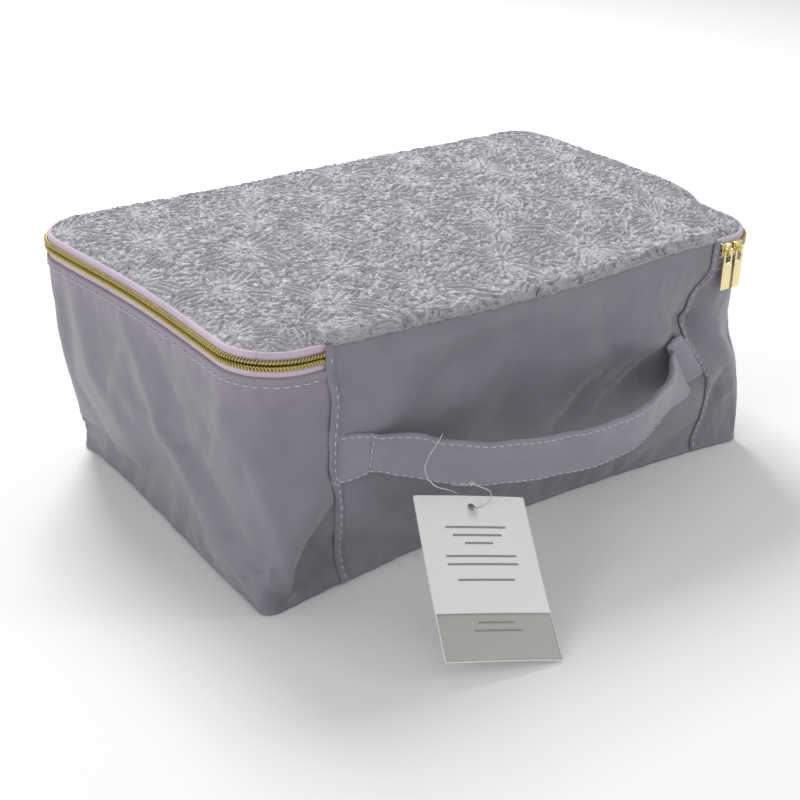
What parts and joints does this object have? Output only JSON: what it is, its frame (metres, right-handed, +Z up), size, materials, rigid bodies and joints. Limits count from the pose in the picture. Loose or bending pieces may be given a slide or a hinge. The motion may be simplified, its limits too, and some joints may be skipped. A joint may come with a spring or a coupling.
{
  "type": "packing cube",
  "caption": "Soft rectangular packing cube: coil zip round three sides of an embossed lid, front carry strap and hang tag.",
  "frame": {"origin": "centre of the base panel's underside, where the bag stands on the table", "axes": "+Z up; -Y out of the front wall, which carries the strap handle; +X to the right for someone facing the front wall"},
  "size_m": [0.2816, 0.2683, 0.1206],
  "materials": {
    "side_fabric": "satin polyester taffeta, lilac grey",
    "lid_fabric": "crinkled embossed fabric, silver lilac",
    "lining": "thin plain-weave lining",
    "zip_tape": "woven polyester zip tape, pale lilac",
    "binding_tape": "woven binding tape",
    "webbing": "woven interlining",
    "thread": "spun polyester thread",
    "gold_coil": "metallised nylon coil, gold",
    "gold_metal": "polished pale gold plate",
    "card": "coated white card with a grey band",
    "clear_plastic": "clear extruded thread"
  },
  "bodies": {
    "bag": {"base_panel": "side_fabric", "side_band": "side_fabric", "front_panel": "side_fabric", "left_seam_fold": "side_fabric", "right_seam_fold": "side_fabric", "band_hem": "side_fabric", "base_binding": "binding_tape", "lower_zip_tape": "zip_tape", "lower_coil": "gold_coil", "upper_tape_ends": "zip_tape", "upper_coil_ends": "gold_coil", "hinge_seam": "side_fabric", "handle_root_left": "side_fabric", "handle_root_right": "side_fabric", "handle_tacks": "thread"},
    "lid": {"lid_panel": "lid_fabric", "lid_lining": "lining", "upper_zip_tape": "zip_tape", "upper_coil": "gold_coil", "lid_binding": "binding_tape"},
    "handle": {"handle_sleeve": "side_fabric", "handle_core": "webbing", "tag_loop": "clear_plastic"},
    "slider_a": {"slider_a_body": "gold_metal"},
    "slider_b": {"slider_b_body": "gold_metal"},
    "pull_a": {"pull_a_tab": "gold_metal"},
    "pull_b": {"pull_b_tab": "gold_metal"},
    "tag": {"tag_card": "card"}
  },
  "joints": [
    {"name": "lid_hinge", "type": "hinge", "parent": "bag", "child": "lid", "pos_m": [0, -0.0909, 0.1136], "axis": [1, 0, 0], "range_deg": [0, 170]},
    {"name": "handle_swing", "type": "hinge", "parent": "bag", "child": "handle", "pos_m": [0, -0.0914, 0.06], "axis": [-1, 0, 0], "range_deg": [-45, 60], "deforming": ["tag_loop"]},
    {"name": "tag_rest", "type": "hinge", "parent": "handle", "child": "tag", "pos_m": [0, -0.0914, 0.06], "axis": [-1, 0, 0], "range_deg": [-60, 45]},
    {"name": "slider_a_slide", "type": "slide", "parent": "bag", "child": "slider_a", "axis": [1, 0, 0], "range_m": [0, 0.0008]},
    {"name": "slider_b_travel", "type": "hinge", "parent": "bag", "child": "slider_b", "pos_m": [0.114, -0.064, 0.108], "axis": [0, 0, 1], "range_deg": [0, 81.15]},
    {"name": "pull_a_swing", "type": "hinge", "parent": "slider_a", "child": "pull_a", "pos_m": [0.1108, -0.09275, 0.108], "axis": [-1, 0, 0], "range_deg": [0, 165]},
    {"name": "pull_b_swing", "type": "hinge", "parent": "slider_b", "child": "pull_b", "pos_m": [0.11842, -0.09241, 0.108], "axis": [-0.9881, -0.1538, 0], "range_deg": [0, 165]}
  ],
  "couplings": [
    {"joint": "tag_rest", "follows": "handle_swing", "ratio": -1}
  ]
}
